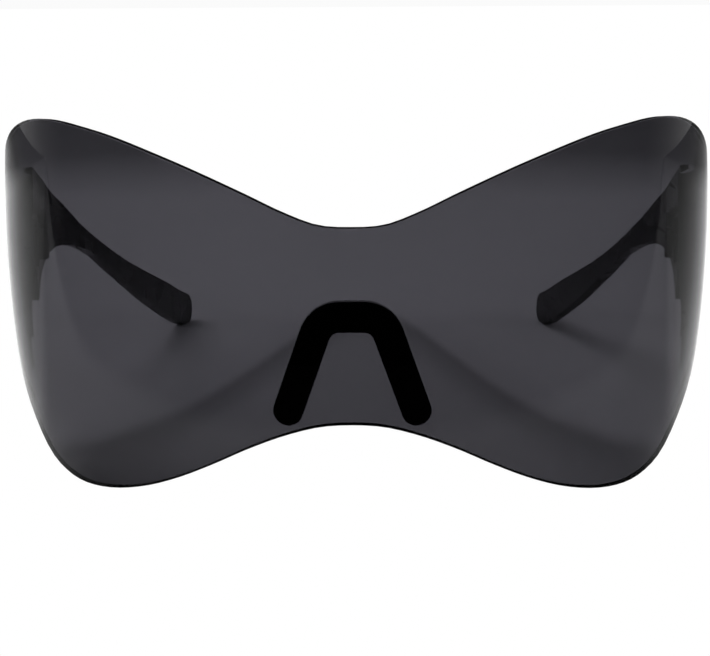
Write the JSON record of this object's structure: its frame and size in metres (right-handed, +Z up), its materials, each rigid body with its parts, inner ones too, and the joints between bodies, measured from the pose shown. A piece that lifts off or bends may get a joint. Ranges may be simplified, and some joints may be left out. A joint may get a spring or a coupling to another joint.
{
  "type": "party glasses",
  "caption": "Oversized rimless shield glasses with a smoke-tinted wraparound lens, a nose saddle with soft pads and folding temples.",
  "frame": {"origin": "on the table that the open glasses stand on, under the middle of their bounding box", "axes": "+X to the right of the picture, which is the wearer's left, +Y from the lens back to the temple tips, +Z up"},
  "size_m": [0.1472, 0.1696, 0.0732],
  "materials": {
    "lens": "polished, smoke tinted, see-through",
    "black_plastic": "gloss black moulded plastic",
    "temple_plastic": "gloss black moulded plastic",
    "pad": "soft black silicone",
    "hinge_metal": "satin steel",
    "screw_metal": "bright steel"
  },
  "bodies": {
    "front": {"lens": "lens", "nose_saddle": "black_plastic", "nose_pad_left": "pad", "end_piece_left": "black_plastic", "hinge_front_leaf_left": "hinge_metal", "hinge_screw_left": "screw_metal", "front_leaf_screw_left_upper": "screw_metal", "front_leaf_screw_left_lower": "screw_metal", "nose_pad_right": "pad", "end_piece_right": "black_plastic", "hinge_front_leaf_right": "hinge_metal", "hinge_screw_right": "screw_metal", "front_leaf_screw_right_upper": "screw_metal", "front_leaf_screw_right_lower": "screw_metal"},
    "left_temple": {"temple_left": "temple_plastic", "hinge_temple_leaf_left": "hinge_metal", "temple_leaf_screw_left_upper": "screw_metal", "temple_leaf_screw_left_lower": "screw_metal"},
    "right_temple": {"temple_right": "temple_plastic", "hinge_temple_leaf_right": "hinge_metal", "temple_leaf_screw_right_upper": "screw_metal", "temple_leaf_screw_right_lower": "screw_metal"}
  },
  "joints": [
    {"name": "left_temple_fold", "type": "hinge", "parent": "front", "child": "left_temple", "pos_m": [-0.06687, -0.0414, 0.0465], "axis": [0, 0, -1], "range_deg": [0, 90]},
    {"name": "right_temple_fold", "type": "hinge", "parent": "front", "child": "right_temple", "pos_m": [0.06687, -0.0414, 0.0465], "axis": [0, 0, 1], "range_deg": [0, 84]}
  ]
}
